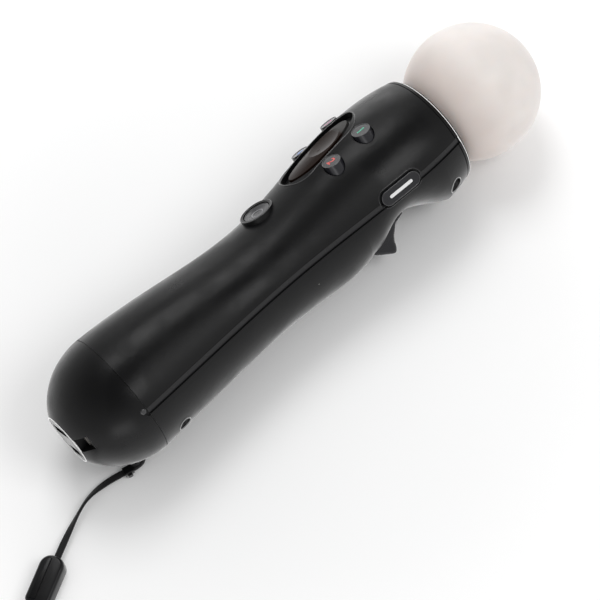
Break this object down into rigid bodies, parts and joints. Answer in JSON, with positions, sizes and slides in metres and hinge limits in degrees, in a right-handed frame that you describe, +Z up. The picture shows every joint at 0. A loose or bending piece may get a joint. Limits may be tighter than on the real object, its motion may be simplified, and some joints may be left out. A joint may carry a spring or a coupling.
{
  "type": "motion navigation controller",
  "caption": "Hand-held motion controller wand with a light ball, front buttons, a trigger in a finger scoop and a wrist strap.",
  "frame": {"origin": "on the table under the middle of the wand's box, strap left out", "axes": "+X along the wand towards the ball, +Z up, and the right-hand side button faces -Y and up"},
  "size_m": [0.2918, 0.091, 0.0471],
  "materials": {
    "casing": "satin, finely textured",
    "ball_skin": "soft matte, translucent white",
    "seat": "satin",
    "clear": "milky, clear",
    "move_dish": "glossy, smoked",
    "buttons": "satin",
    "home": "satin",
    "side_buttons": "satin",
    "trigger": "satin",
    "frame": "plain",
    "circuit": "board with solder mask",
    "mat": "silicone",
    "steel": "plain",
    "socket_metal": "plated",
    "contact_metal": "gold plated",
    "battery": "wrapped cell",
    "foam": "foam",
    "strap": "woven",
    "strap_lock": "satin"
  },
  "bodies": {
    "wand": {"front_shell": "casing", "rear_shell": "casing", "tail_cap": "casing", "ball": "ball_skin", "ball_seat": "seat", "light_guide": "clear", "led_board": "circuit", "inner_frame": "frame", "main_board": "circuit", "board_screws": "steel", "button_mat": "mat", "start_pad": "mat", "select_pad": "mat", "trigger_bracket": "frame", "trigger_pin": "steel", "trigger_spring": "steel", "battery_pack": "battery", "battery_foam": "foam", "rumble_motor": "steel", "usb_socket": "socket_metal", "expansion_socket": "socket_metal", "port_board": "circuit", "charge_contact_right": "contact_metal", "charge_contact_left": "contact_metal", "strap_bar": "steel", "shell_screws": "steel", "strap_loop": "strap", "strap_crimp": "strap_lock", "strap_band": "strap", "strap_slider": "strap_lock", "wrist_loop": "strap"},
    "move_button_body": {"move_button": "move_dish"},
    "button_one_body": {"face_button_one": "buttons"},
    "button_two_body": {"face_button_two": "buttons"},
    "button_three_body": {"face_button_three": "buttons"},
    "button_four_body": {"face_button_four": "buttons"},
    "home_button_body": {"home_button": "home"},
    "start_button_body": {"start_button": "side_buttons"},
    "select_button_body": {"select_button": "side_buttons"},
    "trigger_body": {"trigger": "trigger"},
    "rumble_weight_body": {"rumble_weight": "steel"}
  },
  "joints": [
    {"name": "move_press", "type": "slide", "parent": "wand", "child": "move_button_body", "axis": [0.006, -0.6312, -0.7756], "range_m": [0, 0.0008], "stiffness_N_per_m": 900, "springref_m": -0.0005},
    {"name": "button_one_press", "type": "slide", "parent": "wand", "child": "button_one_body", "axis": [0.006, -0.6312, -0.7756], "range_m": [0, 0.0008], "stiffness_N_per_m": 700, "springref_m": -0.0005},
    {"name": "button_two_press", "type": "slide", "parent": "wand", "child": "button_two_body", "axis": [0.006, -0.6312, -0.7756], "range_m": [0, 0.0008], "stiffness_N_per_m": 700, "springref_m": -0.0005},
    {"name": "button_three_press", "type": "slide", "parent": "wand", "child": "button_three_body", "axis": [0.006, -0.6312, -0.7756], "range_m": [0, 0.0008], "stiffness_N_per_m": 700, "springref_m": -0.0005},
    {"name": "button_four_press", "type": "slide", "parent": "wand", "child": "button_four_body", "axis": [0.006, -0.6312, -0.7756], "range_m": [0, 0.0008], "stiffness_N_per_m": 700, "springref_m": -0.0005},
    {"name": "home_press", "type": "slide", "parent": "wand", "child": "home_button_body", "axis": [0.006, -0.6312, -0.7756], "range_m": [0, 0.0005], "stiffness_N_per_m": 900, "springref_m": -0.0005},
    {"name": "start_press", "type": "slide", "parent": "wand", "child": "start_button_body", "axis": [0.0049, 0.7756, -0.6312], "range_m": [0, 0.0005], "stiffness_N_per_m": 900, "springref_m": -0.0005},
    {"name": "select_press", "type": "slide", "parent": "wand", "child": "select_button_body", "axis": [-0.0049, -0.7756, 0.6312], "range_m": [0, 0.0005], "stiffness_N_per_m": 900, "springref_m": -0.0005},
    {"name": "trigger_pull", "type": "hinge", "parent": "wand", "child": "trigger_body", "pos_m": [0.03608, -0.00576, 0.01609], "axis": [0.0049, 0.7756, -0.6312], "range_deg": [0, 14], "stiffness_Nm_per_rad": 0.25, "springref_deg": -20.05, "deforming": ["trigger_spring"]},
    {"name": "rumble_spin", "type": "hinge", "parent": "wand", "child": "rumble_weight_body", "pos_m": [-0.07293, -0.00356, 0.01797], "axis": [1, 0, 0.0077], "continuous": true}
  ]
}
